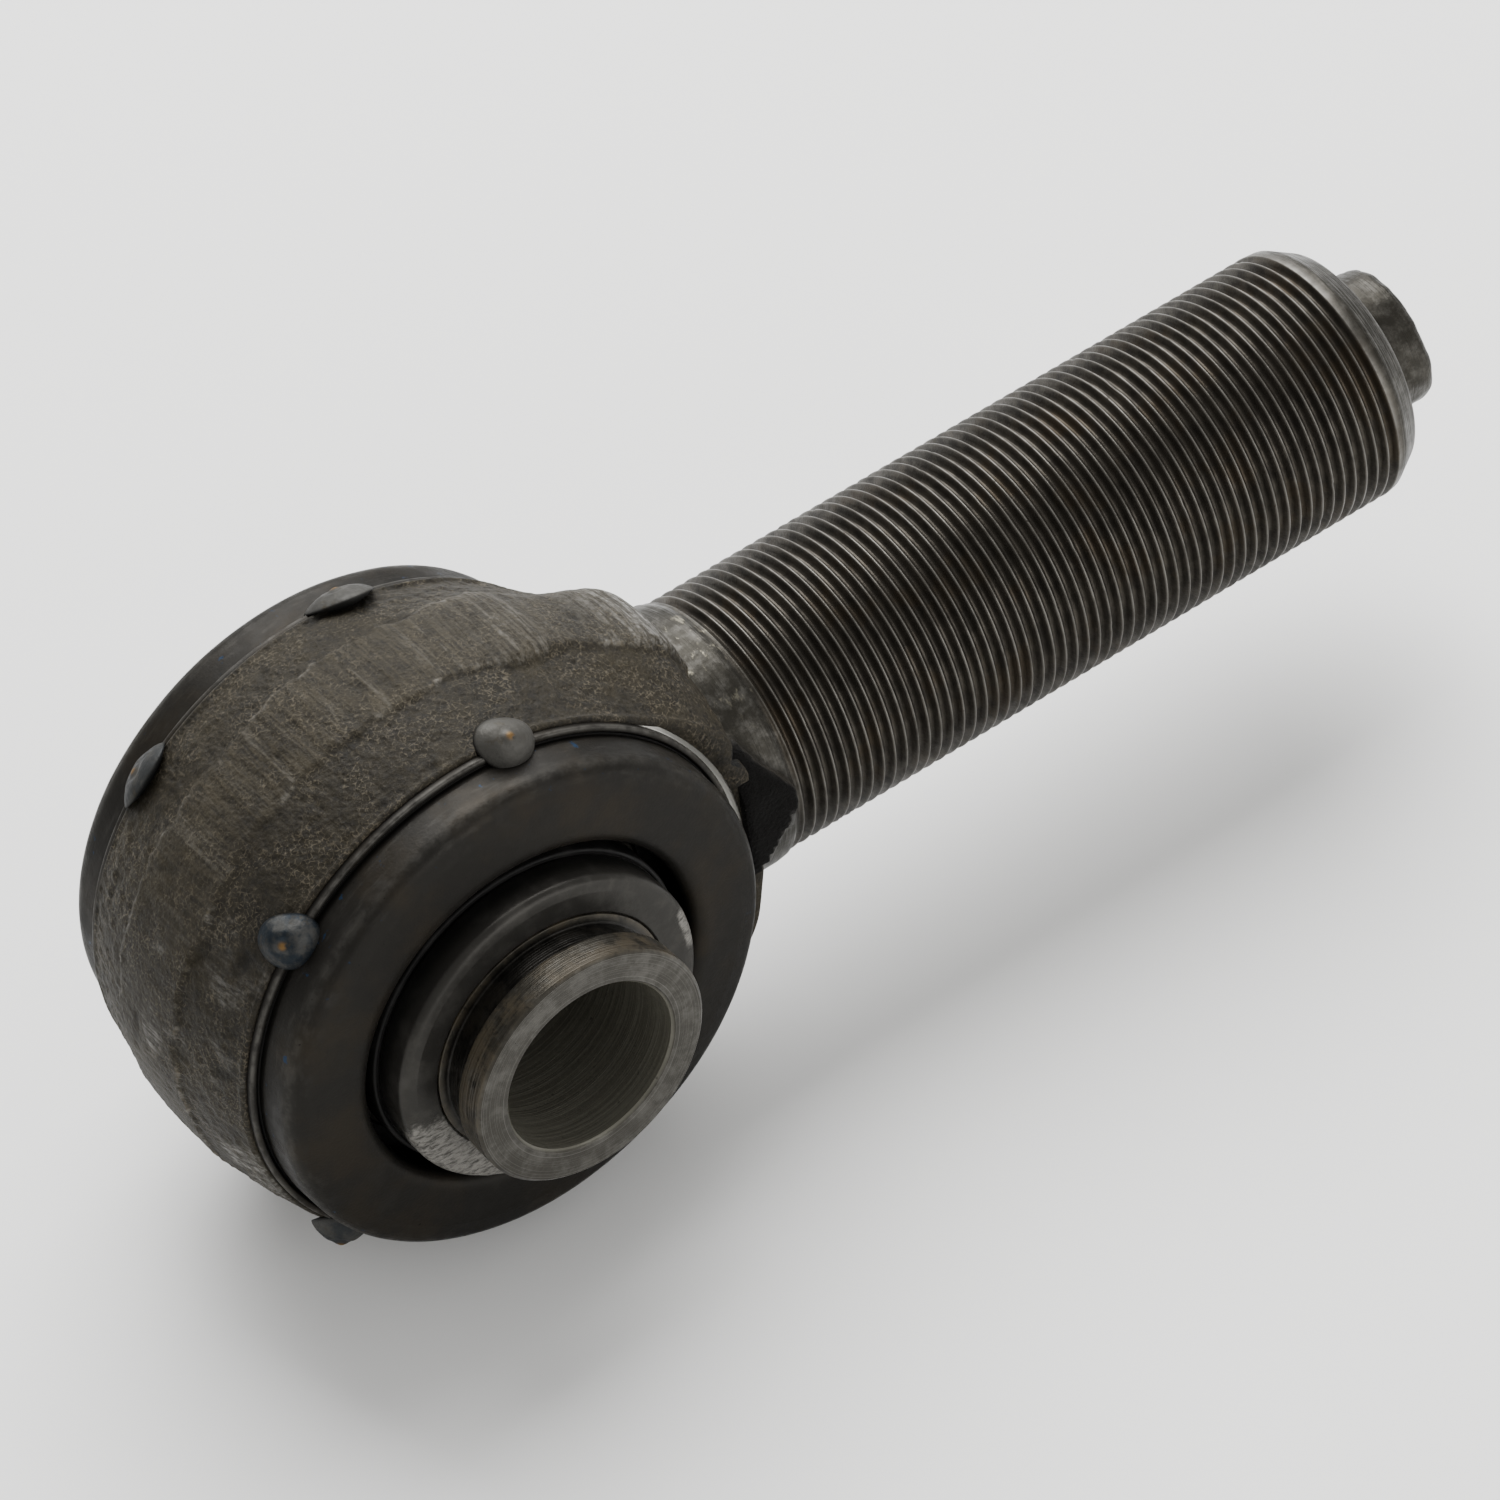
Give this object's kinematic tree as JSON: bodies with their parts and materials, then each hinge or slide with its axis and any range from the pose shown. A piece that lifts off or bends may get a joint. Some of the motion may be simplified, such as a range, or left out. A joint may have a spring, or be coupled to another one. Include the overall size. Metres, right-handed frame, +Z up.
{
  "type": "rod end bearing",
  "caption": "Forged rod end with a threaded shank and a hollow ball sleeve held in rubber layers by two welded closing rings; the sleeve tilts and twists a little in its eye.",
  "frame": {"origin": "centre of the ball, on the axis of the sleeve's bore, midway between the sleeve's end faces", "axes": "+X along the threaded shank away from the eye, +Y along the bore towards the far face, +Z up"},
  "size_m": [0.1618, 0.0618, 0.0668],
  "materials": {
    "forging": "rough forged scale, brown grey",
    "ring_steel": "satin pressed steel, dark grey",
    "weld": "solidified weld with heat tint",
    "hidden_steel": "plain bright steel",
    "rubber": "matt black moulded rubber",
    "sleeve_steel": "turned bare steel",
    "collar_steel": "dull grey steel with worn edges"
  },
  "bodies": {
    "eye": {"rod_head": "forging", "closing_ring_near": "ring_steel", "closing_ring_far": "ring_steel", "weld_beads_near": "weld", "weld_beads_far": "weld", "support_ring_near": "hidden_steel", "support_ring_far": "hidden_steel", "outer_shell_near": "hidden_steel", "outer_shell_far": "hidden_steel"},
    "outer_layer": {"outer_rubber_near": "rubber", "outer_rubber_far": "rubber"},
    "mid_layer": {"mid_shell_near": "hidden_steel", "mid_shell_far": "hidden_steel"},
    "inner": {"inner_rubber_near": "rubber", "inner_rubber_far": "rubber", "ball_sleeve": "sleeve_steel", "collar_near": "collar_steel", "collar_far": "collar_steel", "seal_near": "rubber", "seal_far": "rubber"}
  },
  "joints": [
    {"name": "rock_about_shank", "type": "hinge", "parent": "eye", "child": "outer_layer", "pos_m": [0, 0, 0], "axis": [1, 0, 0], "range_deg": [-3, 3], "stiffness_Nm_per_rad": 3},
    {"name": "swing_sideways", "type": "hinge", "parent": "outer_layer", "child": "mid_layer", "pos_m": [0, 0, 0], "axis": [0, 0, 1], "range_deg": [-3, 3], "stiffness_Nm_per_rad": 3},
    {"name": "twist_about_bore", "type": "hinge", "parent": "mid_layer", "child": "inner", "pos_m": [0, 0, 0], "axis": [0, 1, 0], "range_deg": [-20, 20], "stiffness_Nm_per_rad": 1.5}
  ]
}
